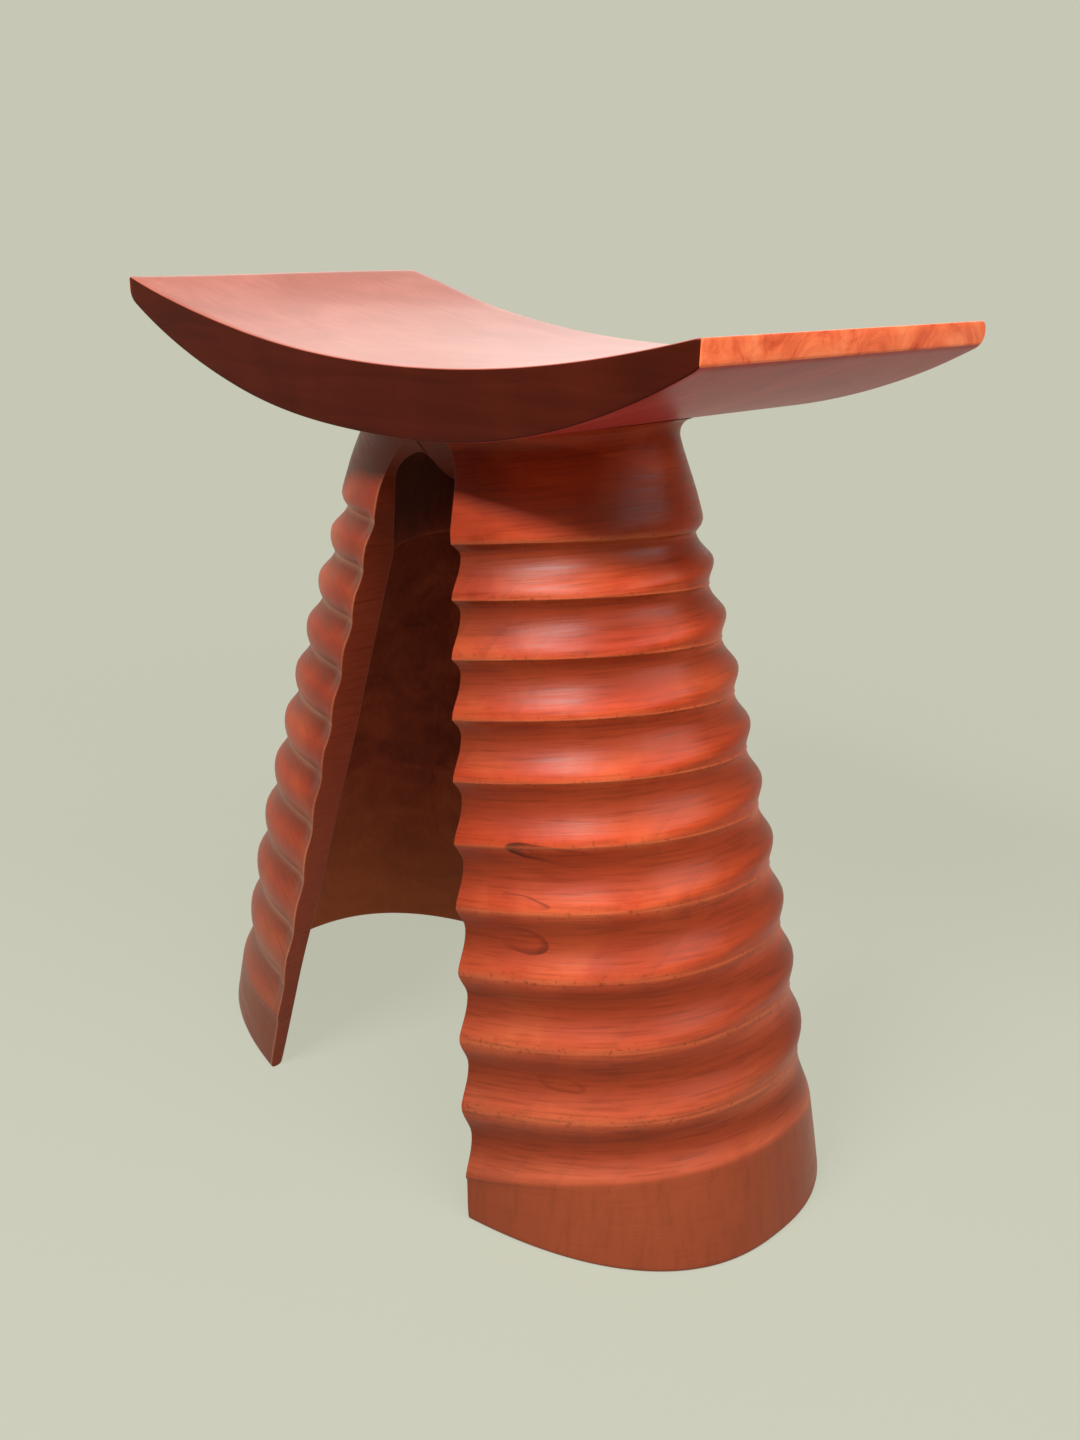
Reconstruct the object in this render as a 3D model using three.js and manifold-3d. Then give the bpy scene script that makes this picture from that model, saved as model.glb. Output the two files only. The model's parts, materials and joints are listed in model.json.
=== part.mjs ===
// A carved wooden stool: a dished seat board on two facing hollow legs, ribbed round the outside.
// Millimetres, +Z up. The origin is on the floor under the middle of the seat, X runs along the
// seat and -Y is the front. The two legs face each other across an arched gap that runs from
// front to back. The left leg's ribs fall away from the gap, the right leg's climb. Six hidden
// dowels join the legs to the seat.
import * as THREE from "three";
import { mergeVertices } from "three/addons/utils/BufferGeometryUtils.js";
import Module from "manifold-3d";

const wasm = await Module();
wasm.setup();

// Seat: top and underside are both curved along X only.
const seatLength = 401.5;
const seatWidth = 204;
const seatEndTop = 450;      // height of the top at the two ends
const seatTopDish = 26.7;    // how far the top sinks in the middle
const seatTopPower = 2.06;
const seatEndUnder = 438.7;  // height of the underside at the two ends
const seatUnderDrop = 47.4;  // how far the underside sinks in the middle
const seatUnderPower = 2.39;
const seatEdgeRound = 2.5;
const seatSlices = 36;       // lengthwise steps between the rounded ends

// Base: the outside of both legs lies on one leaning oval cone, given at the floor and at coneHeight.
const coneHeight = 350;
const floorHalfLength = 208;
const upperHalfLength = 117;
const lengthBulge = 8.3;     // how far the cone's ends bow out at half height
const floorHalfWidth = 114.3;
const upperHalfWidth = 72.1;
const widthBulge = 5.1;
const floorPower = 2.7;      // squareness of the oval, 2 is an ellipse
const upperPower = 1.86;

// Ribs: crest lines run round each leg and climb towards its outer end.
const ribCount = 9;
const firstRibHeight = 308;    // at the middle of the stool
const firstPitch = 29.9;
const pitchGrowth = 0.97;      // each pitch is this much longer than the one above
const mostRise = 0.246;        // climb of a crest line per millimetre away from the middle
const riseFall = 0.0019;       // how fast the climb eases away from the steepest rib
const steepestRib = 5.5;
const leftRise = -0.095;       // the left leg's lines start alike at the gap and fall away from it
const backFall = 0.063;        // every line sinks towards the back, per millimetre
const frontLine = -105;
const neckLineHeight = 335.5;  // lower edge of the smooth neck
const neckLineRise = 0.18;
const leftNeckRise = -0.04;
const footRidgeMiddle = -6;    // the ridge between the foot's groove and its smooth band
const footRidgeRise = 0.32;
const leftFootRidge = 36;      // its height beside the gap on the left leg

// A rib from one crest to the next, as shares of the way down. Beside the gap the ribs are crisp and
// stand out at their crests. Round the leg's outer end they are plump, with a crease under each crest.
const crispRib = { deepest: 0.38, fullest: 0.985, atCrest: 0.02, depth: 5.4, depthLoss: 0 };
const plumpRib = { deepest: 0.06, fullest: 0.6, atCrest: 0.85, depth: 6, depthLoss: 0.2 };
const plumpTo = 0.52;          // angle from the leg's outer end in radians, plump up to here
const crispFrom = 0.9;
const ribSteps = [0, 0.07, 0.2, 0.38, 0.62, 0.82];  // stations from one crest to the next
const footSteps = [1, 0.8, 0.6, 0.38, 0.2, 0.07];   // stations of the foot's groove, bottom up
const neckWaist = 5;           // how far the neck draws in before it meets the seat
const waistStart = 8;          // the waist fades out between these depths below the seat
const waistEnd = 40;
const collarRadius = 9;        // hollow curve that spreads the neck under the seat
const neckSteps = [48, 32, 20, 12, 8, 5, 3, 1.5, 0, -4];  // depths below the seat
const footFrom = 60;           // the foot's spread fades out between these heights
const footTo = 130;
const footLonger = 3;
const footWider = 4.5;
const footSofter = 0.2;        // how much rounder the foot's corners are
const soleRound = 2.5;         // on the outer edge of the foot
const innerSoleRound = 2;
const soleSteps = [0, 0.1, 0.3, 0.6, 1];  // heights on a rounded edge, as parts of its radius
const ovalSteps = 64;

// Gap between the legs, seen from the front: two straight leaning sides, then an arch. It stands a
// little off the middle at the floor.
const leftGapAtFloor = 86.5;
const rightGapAtFloor = 94.5;
const gapKneeHeight = 331;
const gapHalfAtKnee = 32.9;
const gapHalfAtSpring = 29;
const gapSpringHeight = 345;
const gapArchRise = 45;
const gapHalfAtTop = 11;
const gapArchSteps = 8;

// Hollow of the legs: a cone that follows the outside, then a narrower round well with a vaulted top.
const hollowTop = 317;
const hollowSteps = [40, 80, 120, 160, 200, 240, 280, hollowTop];
const wallAtSole = 7;
const wallAbove = 20.5;        // from the crest line to the hollow
const wallGrowHeight = 220;
const wallGrowPower = 0.75;
const wellRadius = 64;
const vaultHeight = 373;
const vaultRadius = 51;        // of the vault's crown line
const bossHeight = 348;        // underside of the low boss in the middle of the vault
const bossRadius = 24;
const bossRise = 4;

// Joints
const clearance = 0.3;         // between the seat and the legs
const dowelRadius = 6;
const dowelSlack = 0.4;        // gap round each dowel
const dowelSeatDepth = 18;     // how deep each dowel stands in the seat
const dowelLegDepth = 20;
const dowelPlaces = [[34, 0], [84, 20], [84, -20]];
const dowelNames = ["inner", "back", "front"];

const overrun = 20;            // how far each cut runs out past the wood

const seatWood = new THREE.MeshStandardMaterial({ color: 0xc8705c, roughness: 0.3, metalness: 0 });
const legWood = new THREE.MeshStandardMaterial({ color: 0xb0472e, roughness: 0.38, metalness: 0 });
const dowelWood = new THREE.MeshStandardMaterial({ color: 0xc99a6b, roughness: 0.6, metalness: 0 });

const mix = THREE.MathUtils.lerp;
const smooth = THREE.MathUtils.smoothstep;

function seatTopAt(x) {
  const along = Math.min(Math.abs(x) / (seatLength / 2), 1);
  return seatEndTop - seatTopDish * (1 - along ** seatTopPower);
}

function seatUnderAt(x) {
  const along = Math.abs(x) / (seatLength / 2);
  return seatEndUnder - seatUnderDrop * (1 - along ** seatUnderPower);
}

// A closed solid through rings of equal point counts, each closed at its ends by a fan.
function loft(rings) {
  const count = rings[0].length;
  const points = rings.flat();
  const index = [];
  for (let r = 0; r + 1 < rings.length; r++) {
    for (let i = 0; i < count; i++) {
      const j = (i + 1) % count;
      const [a, b, c, d] = [r * count + i, r * count + j, (r + 1) * count + j, (r + 1) * count + i];
      index.push(a, b, c, a, c, d);
    }
  }
  const middle = (ring) => ring.reduce((sum, p) => sum.add(p), new THREE.Vector3()).divideScalar(count);
  const first = points.push(middle(rings[0])) - 1;
  const last = points.push(middle(rings.at(-1))) - 1;
  const lastRing = (rings.length - 1) * count;
  for (let i = 0; i < count; i++) {
    const j = (i + 1) % count;
    index.push(first, j, i);
    index.push(last, lastRing + i, lastRing + j);
  }
  const geometry = new THREE.BufferGeometry().setFromPoints(points);
  geometry.setIndex(index);
  return geometry;
}

function toSolid(geometry) {
  const bare = geometry.clone();
  bare.deleteAttribute("normal");
  bare.deleteAttribute("uv");
  const merged = mergeVertices(bare, 1e-4);
  return new wasm.Manifold(new wasm.Mesh({
    numProp: 3,
    vertProperties: new Float32Array(merged.attributes.position.array),
    triVerts: new Uint32Array(merged.index.array),
  }));
}

function toGeometry(solid) {
  const mesh = solid.getMesh();
  const geometry = new THREE.BufferGeometry();
  geometry.setAttribute("position", new THREE.BufferAttribute(mesh.vertProperties.slice(), 3));
  geometry.setIndex(new THREE.BufferAttribute(mesh.triVerts.slice(), 1));
  geometry.computeVertexNormals();
  return geometry;
}

// A prism whose outline is drawn in X and Z and which runs along Y, right through the base.
function prismAlongY(outline) {
  const halfDepth = floorHalfWidth + overrun;
  const shape = new THREE.Shape(outline.map(([x, z]) => new THREE.Vector2(x, z)));
  const geometry = new THREE.ExtrudeGeometry(shape, { depth: 2 * halfDepth, bevelEnabled: false });
  return geometry.rotateX(Math.PI / 2).translate(0, halfDepth, 0);
}

function uprightPeg(x, y, low, high, radius) {
  const sides = 24;
  const peg = new THREE.CylinderGeometry(radius, radius, high - low, sides);
  return peg.rotateX(Math.PI / 2).translate(x, y, (low + high) / 2);
}

// One slice of the seat: a rectangle with rounded corners, drawn in by inset on every side.
function seatSlice(x, inset) {
  const low = seatUnderAt(x) + inset;
  const high = seatTopAt(x) - inset;
  const half = seatWidth / 2 - inset;
  const round = seatEdgeRound;
  const corners = [[half, high, 0], [-half, high, 90], [-half, low, 180], [half, low, 270]];
  const ring = [];
  for (const [y, z, turn] of corners) {
    for (const step of [0, 45, 90]) {
      const angle = THREE.MathUtils.degToRad(turn + step);
      const cy = y - Math.sign(y) * round;
      const cz = z === high ? z - round : z + round;
      ring.push(new THREE.Vector3(x, cy + round * Math.cos(angle), cz + round * Math.sin(angle)));
    }
  }
  return ring;
}

function seatShape() {
  const end = seatLength / 2;
  const slices = [];
  const curve = [0, 45, 90].map((degrees) => THREE.MathUtils.degToRad(degrees));
  for (const angle of curve) {
    slices.push([-end + seatEdgeRound * (1 - Math.sin(angle)), seatEdgeRound * (1 - Math.cos(angle))]);
  }
  slices.sort((p, q) => p[0] - q[0]);
  const straight = end - seatEdgeRound;
  const mirrored = slices.map(([x, inset]) => [-x, inset]).reverse();
  for (let i = 1; i < seatSlices; i++) {
    slices.push([mix(-straight, straight, i / seatSlices), 0]);
  }
  return loft([...slices, ...mirrored].map(([x, inset]) => seatSlice(x, inset)));
}

function buildSeat() {
  let seat = toSolid(seatShape());
  for (const side of [-1, 1]) {
    for (const [x, y] of dowelPlaces) {
      const mouth = seatUnderAt(x);
      const top = mouth + dowelSeatDepth + dowelSlack;
      const hole = uprightPeg(side * x, y, mouth - overrun, top, dowelRadius + dowelSlack);
      seat = seat.subtract(toSolid(hole));
    }
  }
  return toGeometry(seat);
}

// The oval cone that the rib crests lie on, as half length, half width and power at a height.
function coneAt(z) {
  const t = z / coneHeight;
  const bow = 4 * t * (1 - t);
  const low = 1 - smooth(z, footFrom, footTo);
  return {
    length: mix(floorHalfLength, upperHalfLength, t) + lengthBulge * bow + footLonger * low,
    width: mix(floorHalfWidth, upperHalfWidth, t) + widthBulge * bow + footWider * low,
    power: mix(floorPower, upperPower, t) - footSofter * low,
  };
}

function ovalPoint(cone, angle, inset, widthInset = 0) {
  const along = Math.cos(angle);
  const across = Math.sin(angle);
  const bend = 2 / cone.power;
  return new THREE.Vector2(
    (cone.length - inset) * Math.sign(along) * Math.abs(along) ** bend,
    (cone.width - inset - widthInset) * Math.sign(across) * Math.abs(across) ** bend,
  );
}

// Crest line number k of one leg, counted from the lower edge of the neck, as a height above the
// floor. The last one is the foot's ridge. Both legs' crest lines meet the gap at the same heights.
function crestLine(k, x, y, side) {
  const n = k - 1;
  let middle = neckLineHeight;
  let rise = neckLineRise;
  if (k > 0) {
    middle = firstRibHeight - firstPitch * n - (pitchGrowth * n * (n - 1)) / 2;
    rise = mostRise - riseFall * (n - steepestRib) ** 2;
  }
  if (k > ribCount) {
    middle = footRidgeMiddle;
    rise = footRidgeRise;
  }
  if (side < 0) {
    const closing = (rightGapAtFloor - gapHalfAtKnee) / gapKneeHeight;
    const atRightGap = (middle + rise * rightGapAtFloor) / (1 + closing * rise);
    const atGap = k > ribCount ? leftFootRidge : atRightGap;
    rise = k > 0 ? leftRise : leftNeckRise;
    middle = atGap - rise * mix(leftGapAtFloor, gapHalfAtKnee, atGap / gapKneeHeight);
  }
  return middle + rise * Math.abs(x) - backFall * (y - frontLine);
}

// How deep the surface lies at a share t of the way down rib number k. A foot's rib doesn't roll back.
function ribDepth(t, k, angle, foot = false) {
  const plump = 1 - smooth(Math.abs(angle), plumpTo, crispFrom);
  const part = (name) => mix(crispRib[name], plumpRib[name], plump);
  const [deepest, atCrest] = [part("deepest"), part("atCrest")];
  const fullest = foot ? 1 : part("fullest");
  const depth = part("depth") - part("depthLoss") * k;
  if (t < deepest) return depth * (atCrest + (1 - atCrest) * Math.sin((Math.PI / 2) * (t / deepest)));
  if (t <= fullest) return depth * (1 - smooth(t, deepest, fullest));
  return depth * atCrest * ((t - fullest) / (1 - fullest)) ** 2;
}

function collarSpread(depth) {
  const inside = THREE.MathUtils.clamp(collarRadius - depth, 0, collarRadius);
  return collarRadius - Math.sqrt(collarRadius ** 2 - inside ** 2);
}

// A ring on the outside of the base. lineAt gives its height over x and y, insetAt how deep it is
// cut at x, z and an angle measured from the leg's outer end.
function outerRing(lineAt, insetAt, waistAt = () => 0) {
  const ring = [];
  for (let i = 0; i < ovalSteps; i++) {
    const turn = (2 * Math.PI * (i + 0.5)) / ovalSteps;
    let point = new THREE.Vector2();
    let z = 0;
    for (let pass = 0; pass < 8; pass++) {
      z = lineAt(point.x, point.y);
      const angle = Math.atan2(Math.abs(point.y), Math.abs(point.x));
      point = ovalPoint(coneAt(z), turn, insetAt(point.x, z, angle), waistAt(point.x, z));
    }
    ring.push(new THREE.Vector3(point.x, point.y, z));
  }
  return ring;
}

// How far an edge of this radius has drawn back at a height above the floor.
function roundedBack(radius, height) {
  const left = Math.max(radius - height, 0);
  return radius - Math.sqrt(radius ** 2 - left ** 2);
}

function footRings(side) {
  const rings = soleSteps.map((part) => {
    const height = part * soleRound;
    return outerRing(() => height, () => roundedBack(soleRound, height));
  });
  rings.push(outerRing((x, y) => crestLine(ribCount + 1, x, y, side) / 2, () => 0));
  for (const t of footSteps) {
    const line = (x, y) => mix(crestLine(ribCount, x, y, side), crestLine(ribCount + 1, x, y, side), t);
    rings.push(outerRing(line, (x, z, angle) => ribDepth(t, ribCount, angle, true)));
  }
  return rings;
}

function ribRings(side) {
  const rings = [];
  for (let k = ribCount; k > 0; k--) {
    rings.push(outerRing((x, y) => crestLine(k, x, y, side), (x, z, angle) => ribDepth(1, k - 1, angle)));
    for (const t of ribSteps.slice(1).reverse()) {
      const line = (x, y) => mix(crestLine(k - 1, x, y, side), crestLine(k, x, y, side), t);
      rings.push(outerRing(line, (x, z, angle) => ribDepth(t, k - 1, angle)));
    }
  }
  return rings;
}

// The neck runs from its lower edge up past the underside of the seat, and spreads as it nears it.
function neckRings(side) {
  const spread = (x, z) => -collarSpread(Math.max(seatUnderAt(x) - z, 0));
  const waist = (x, z) => neckWaist * (1 - smooth(seatUnderAt(x) - z, waistStart, waistEnd));
  const lowest = (x, y) => crestLine(0, x, y, side);
  const rings = [outerRing(lowest, (x, z, angle) => ribDepth(0, 0, angle))];
  const neckHeight = seatUnderAt(0) - neckLineHeight;
  for (const depth of neckSteps) {
    const share = 1 - depth / neckHeight;
    rings.push(outerRing((x, y) => mix(lowest(x, y), seatUnderAt(x), share), spread, waist));
  }
  return rings;
}

function hollowShape() {
  const rings = [];
  const heights = [-overrun, ...soleSteps.map((part) => part * innerSoleRound), ...hollowSteps];
  for (const z of heights) {
    const height = Math.max(z, 0);
    const grown = Math.min(height / wallGrowHeight, 1) ** wallGrowPower;
    const wall = mix(wallAtSole, wallAbove, grown) - roundedBack(innerSoleRound, height);
    const ring = [];
    for (let i = 0; i < ovalSteps; i++) {
      const angle = (2 * Math.PI * (i + 0.5)) / ovalSteps;
      const point = ovalPoint(coneAt(height), angle, wall);
      ring.push(new THREE.Vector3(point.x, point.y, z));
    }
    rings.push(ring);
  }
  return loft(rings);
}

// The well is turned about the upright axis. Its vault is a ring-shaped arch round a low boss.
function wellShape() {
  const reach = wellRadius - vaultRadius;
  const shoulder = vaultHeight - reach;
  const profile = [[0, hollowTop - overrun], [wellRadius, hollowTop - overrun], [wellRadius, shoulder]];
  for (const degrees of [25, 50, 70, 90, 112, 135]) {
    const angle = THREE.MathUtils.degToRad(degrees);
    profile.push([vaultRadius + reach * Math.cos(angle), shoulder + reach * Math.sin(angle)]);
  }
  profile.push([bossRadius, bossHeight + bossRise], [0, bossHeight]);
  const segments = 48;
  const turned = new THREE.LatheGeometry(profile.map(([r, z]) => new THREE.Vector2(r, z)), segments);
  return turned.rotateX(Math.PI / 2);
}

function gapOutline() {
  const half = (atFloor) => {
    const slope = (atFloor - gapHalfAtKnee) / gapKneeHeight;
    const side = [
      [atFloor + slope * overrun, -overrun],
      [gapHalfAtKnee, gapKneeHeight],
      [gapHalfAtSpring, gapSpringHeight],
    ];
    const lastAngle = Math.acos(gapHalfAtTop / gapHalfAtSpring);
    for (let i = 1; i <= gapArchSteps; i++) {
      const angle = (lastAngle * i) / gapArchSteps;
      side.push([gapHalfAtSpring * Math.cos(angle), gapSpringHeight + gapArchRise * Math.sin(angle)]);
    }
    side.push([gapHalfAtTop, seatEndTop]);
    return side;
  };
  const left = half(leftGapAtFloor).map(([x, z]) => [-x, z]).reverse();
  return [...half(rightGapAtFloor), ...left];
}

// Everything above the underside of the seat, lowered by the joint's clearance.
function aboveUnderside() {
  const outline = [];
  const steps = 30;
  for (let i = 0; i <= steps; i++) {
    const x = mix(-seatLength / 2, seatLength / 2, i / steps);
    outline.push([x, seatUnderAt(x) - clearance]);
  }
  const above = seatEndTop + overrun;
  return prismAlongY([...outline, [seatLength / 2, above], [-seatLength / 2, above]]);
}

function buildLeg(side) {
  let leg = toSolid(loft([...footRings(side), ...ribRings(side), ...neckRings(side)]));
  for (const cut of [hollowShape(), wellShape(), prismAlongY(gapOutline()), aboveUnderside()]) {
    leg = leg.subtract(toSolid(cut));
  }
  for (const [x, y] of dowelPlaces) {
    const mouth = seatUnderAt(x);
    const bottom = mouth - dowelLegDepth - dowelSlack;
    const hole = uprightPeg(side * x, y, bottom, mouth + overrun, dowelRadius + dowelSlack);
    leg = leg.subtract(toSolid(hole));
  }
  const reach = 2 * floorHalfLength;
  const half = new THREE.BoxGeometry(reach, reach, 2 * seatEndTop).translate((side * reach) / 2, 0, 0);
  return toGeometry(leg.intersect(toSolid(half)));
}

const stool = new THREE.Group();

function add(name, geometry, material) {
  const mesh = new THREE.Mesh(geometry, material);
  mesh.name = name;
  stool.add(mesh);
}

add("seat", buildSeat(), seatWood);
add("left_leg", buildLeg(-1), legWood);
add("right_leg", buildLeg(1), legWood);

for (const [sideName, side] of [["left", -1], ["right", 1]]) {
  dowelPlaces.forEach(([x, y], i) => {
    const mouth = seatUnderAt(x);
    const peg = uprightPeg(side * x, y, mouth - dowelLegDepth, mouth + dowelSeatDepth, dowelRadius);
    add(`${sideName}_dowel_${dowelNames[i]}`, peg, dowelWood);
  });
}

export default stool;
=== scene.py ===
import json
import math

import bmesh
import bpy
import numpy as np
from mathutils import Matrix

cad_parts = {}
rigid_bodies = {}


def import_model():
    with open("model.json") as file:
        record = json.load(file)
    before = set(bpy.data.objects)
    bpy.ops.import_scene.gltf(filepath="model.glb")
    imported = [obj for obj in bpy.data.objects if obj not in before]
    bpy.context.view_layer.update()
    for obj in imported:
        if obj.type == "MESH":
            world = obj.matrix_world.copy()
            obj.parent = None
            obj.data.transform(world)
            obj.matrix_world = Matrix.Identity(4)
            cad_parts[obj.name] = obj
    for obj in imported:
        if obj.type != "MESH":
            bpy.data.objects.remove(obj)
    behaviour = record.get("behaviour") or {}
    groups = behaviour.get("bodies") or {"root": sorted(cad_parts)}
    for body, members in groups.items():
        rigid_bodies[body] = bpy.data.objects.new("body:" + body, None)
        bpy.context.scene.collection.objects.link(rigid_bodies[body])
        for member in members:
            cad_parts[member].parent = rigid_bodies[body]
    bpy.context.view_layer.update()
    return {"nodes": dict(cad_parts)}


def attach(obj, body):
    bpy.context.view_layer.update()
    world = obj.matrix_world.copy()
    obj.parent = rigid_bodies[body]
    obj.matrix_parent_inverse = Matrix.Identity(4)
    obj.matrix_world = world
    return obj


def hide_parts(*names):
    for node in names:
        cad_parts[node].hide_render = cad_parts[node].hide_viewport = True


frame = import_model()
print("frame loaded:", sorted(frame["nodes"]))


def srgb(hexColour):
    # each channel by the sRGB curve: v/12.92 below 0.04045, else ((v+0.055)/1.055)^2.4
    channels = [int(hexColour[i:i + 2], 16) / 255 for i in (1, 3, 5)]
    return tuple(v / 12.92 if v <= 0.04045 else ((v + 0.055) / 1.055) ** 2.4 for v in channels) + (1.0,)


def addNode(tree, kind, inputs=None, stops=None, **settings):
    # one node with its settings, the links or values of its inputs and, for a ramp, its stops
    node = tree.nodes.new(kind)
    for name, value in settings.items():
        setattr(node, name, value)
    for key, value in (inputs or {}).items():
        if isinstance(value, bpy.types.NodeSocket):
            tree.links.new(value, node.inputs[key])
        else:
            node.inputs[key].default_value = value
    if stops:
        elements = node.color_ramp.elements
        while len(elements) < len(stops):
            elements.new(0.5)
        for element, (position, colour) in zip(elements, stops):
            element.position = position
            element.color = srgb(colour) if isinstance(colour, str) else (colour, colour, colour, 1)
    return node


def newMaterial(name):
    material = bpy.data.materials.new(name)
    material.use_nodes = True
    tree = material.node_tree
    tree.nodes.clear()
    shader = addNode(tree, "ShaderNodeBsdfPrincipled")
    addNode(tree, "ShaderNodeOutputMaterial", {"Surface": shader.outputs["BSDF"]})
    return material, tree, shader


meshLimits = {"mergeAt": 2e-6, "thinnest": 1e-7}  # metres


def makePiece(name, points, faces, materials, faceMaterial, attributes=None):
    # points in millimetres become a mesh in metres; doubles are merged and normals turned outwards
    mesh = bpy.data.meshes.new(name)
    mesh.from_pydata((points * 0.001).tolist(), [], [face for group in faces for face in group.tolist()])
    for material in materials:
        mesh.materials.append(material)
    mesh.polygons.foreach_set("material_index", faceMaterial.astype(np.int32))
    for key, values in (attributes or {}).items():
        mesh.attributes.new(key, "FLOAT", "POINT").data.foreach_set("value", values.astype(np.float32))
    work = bmesh.new()
    work.from_mesh(mesh)
    bmesh.ops.remove_doubles(work, verts=work.verts, dist=meshLimits["mergeAt"])
    bmesh.ops.dissolve_degenerate(work, edges=work.edges, dist=meshLimits["thinnest"])
    bmesh.ops.recalc_face_normals(work, faces=work.faces)
    openEdges = sum(1 for edge in work.edges if len(edge.link_faces) != 2)
    work.to_mesh(mesh)
    work.free()
    mesh.polygons.foreach_set("use_smooth", np.ones(len(mesh.polygons), bool))
    piece = bpy.data.objects.new(name, mesh)
    bpy.context.scene.collection.objects.link(piece)
    triangles = sum(len(face.vertices) - 2 for face in mesh.polygons)
    print(f"{name}: {triangles} triangles, {openEdges} open edges")
    return piece


def gridFaces(rows, columns, closed=False, start=0):
    # quads between neighbouring grid points; closed joins the last column to the first
    r, c = np.meshgrid(np.arange(rows - 1), np.arange(columns if closed else columns - 1), indexing="ij")
    after = (c + 1) % columns
    here, below = r * columns, (r + 1) * columns
    return np.stack([here + c, here + after, below + after, below + c], -1).reshape(-1, 4) + start


tiny = 1e-6  # keeps divisors above zero


def smoothstep(x, low, high):
    t = np.clip((x - low) / (high - low), 0, 1)
    return t * t * (3 - 2 * t)


seat = {
    "length": 401.5,
    "width": 204.0,
    "endTop": 450.0,         # height of the top at the two ends
    "topDish": 26.7,         # how far the top sinks in the middle
    "topPower": 2.06,
    "endUnder": 438.7,       # height of the underside at the two ends
    "underDrop": 47.4,
    "underPower": 2.39,
    "edgeRound": 1.0,        # long edges
    "farCornerRound": 3.0,   # added to the far edge's rounding at the two ends
    "farCornerReach": 30.0,
    "mostRound": 0.44,       # of the board's thickness
    "endRoundLength": 3.4,   # how far the ends round off along the board
    "endRoundTop": 0.9,
    "endRoundUnder": 1.7,
    "endRoundSide": 1.4,
    "endGrainFrom": 0.35,    # share of the end's rounding past which end grain shows
    "leftRounder": 1.9,      # the left end is rounded more
    "leftRoundUnder": 6.4,
    "leftLonger": 6.5,       # and reaches a little further
    "longerFrom": 0.25,      # of the length
    "warp": 2.5,             # and the board has lifted at its far corner
    "warpFrom": 0.3,
    "joint": 0.3,            # glue line between seat and legs
    "endRows": 9,
    "lengthRows": 141,
    "acrossPoints": 49,
    "uprightPoints": 11,
    "cornerPoints": 6,
}


def seatTopAt(x):
    # ends' height less a dish that fades with a power of the distance from the middle
    along = np.minimum(np.abs(x) / (seat["length"] / 2), 1)
    return seat["endTop"] - seat["topDish"] * (1 - along ** seat["topPower"])


def seatUnderAt(x):
    along = np.minimum(np.abs(x) / (seat["length"] / 2), 1)
    return seat["endUnder"] - seat["underDrop"] * (1 - along ** seat["underPower"])


def seatSurface():
    # a rounded rectangle across the board, carried along it; near the ends a quarter ellipse draws
    # the section in, and flat caps close it
    halfLength, halfWidth = seat["length"] / 2, seat["width"] / 2
    turn = np.linspace(0, math.pi / 2, seat["endRows"])
    drawnBack = seat["endRoundLength"] * (1 - np.cos(turn))
    endX, leftX = halfLength - drawnBack, seat["leftRounder"] * drawnBack - halfLength
    inner = np.linspace(leftX[-1], endX[-1], seat["lengthRows"])[1:-1]
    draw = np.r_[1 - np.sin(turn), np.zeros(inner.size), (1 - np.sin(turn))[::-1]][:, None]
    x = np.r_[leftX, inner, endX[::-1]][:, None]
    high = seatTopAt(x) - seat["endRoundTop"] * draw * np.where(x < 0, seat["leftRounder"], 1)
    low = seatUnderAt(x) + np.where(x < 0, seat["leftRoundUnder"], seat["endRoundUnder"]) * draw
    side = halfWidth - seat["endRoundSide"] * draw
    mostRound = seat["mostRound"] * (high - low)
    nearEnd = smoothstep(np.abs(x), halfLength - seat["farCornerReach"], halfLength)
    nearRound = np.minimum(seat["edgeRound"], mostRound)
    farRound = np.minimum(seat["edgeRound"] + seat["farCornerRound"] * nearEnd, mostRound)
    corner = np.linspace(0, math.pi / 2, seat["cornerPoints"])
    across = np.linspace(-1, 1, seat["acrossPoints"])[1:-1]
    upright = np.linspace(-1, 1, seat["uprightPoints"])[1:-1]
    y, z = [], []
    for toBack, toTop, angle in ((1, 1, 0), (-1, 1, 90), (-1, -1, 180), (1, -1, 270)):
        a = corner + math.radians(angle)
        r = farRound if toBack > 0 else nearRound
        y.append(toBack * (side - r) + r * np.cos(a))
        z.append((high - r if toTop > 0 else low + r) + r * np.sin(a))
        if angle in (0, 180):
            flat = -toBack * across
            y.append(flat * (side - np.where(flat > 0, farRound, nearRound)))
            z.append((high if toTop > 0 else low) + 0 * across)
        else:
            y.append(toBack * side + 0 * upright)
            z.append((high + low) / 2 - toTop * upright * ((high - low) / 2 - r))
    y, z = np.concatenate(y, 1), np.concatenate(z, 1)
    c, h = corner.size, corner.size // 2
    upper = np.repeat([1, 0, 0, 1], [h, c - h + across.size, h, c - h + upright.size])
    around = np.r_[upper, np.where(upper == 0, 3, 1)]  # 0 top, 1 long side, 3 underside
    x = x - seat["leftLonger"] * smoothstep(-x, seat["length"] * seat["longerFrom"], halfLength)
    toFar = smoothstep(y, -halfWidth, halfWidth)
    z = z + seat["warp"] * smoothstep(-x, seat["length"] * seat["warpFrom"], halfLength) * toFar
    return np.stack([x + 0 * y, y, z], -1), around, draw[:-1, 0] > seat["endGrainFrom"]


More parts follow.
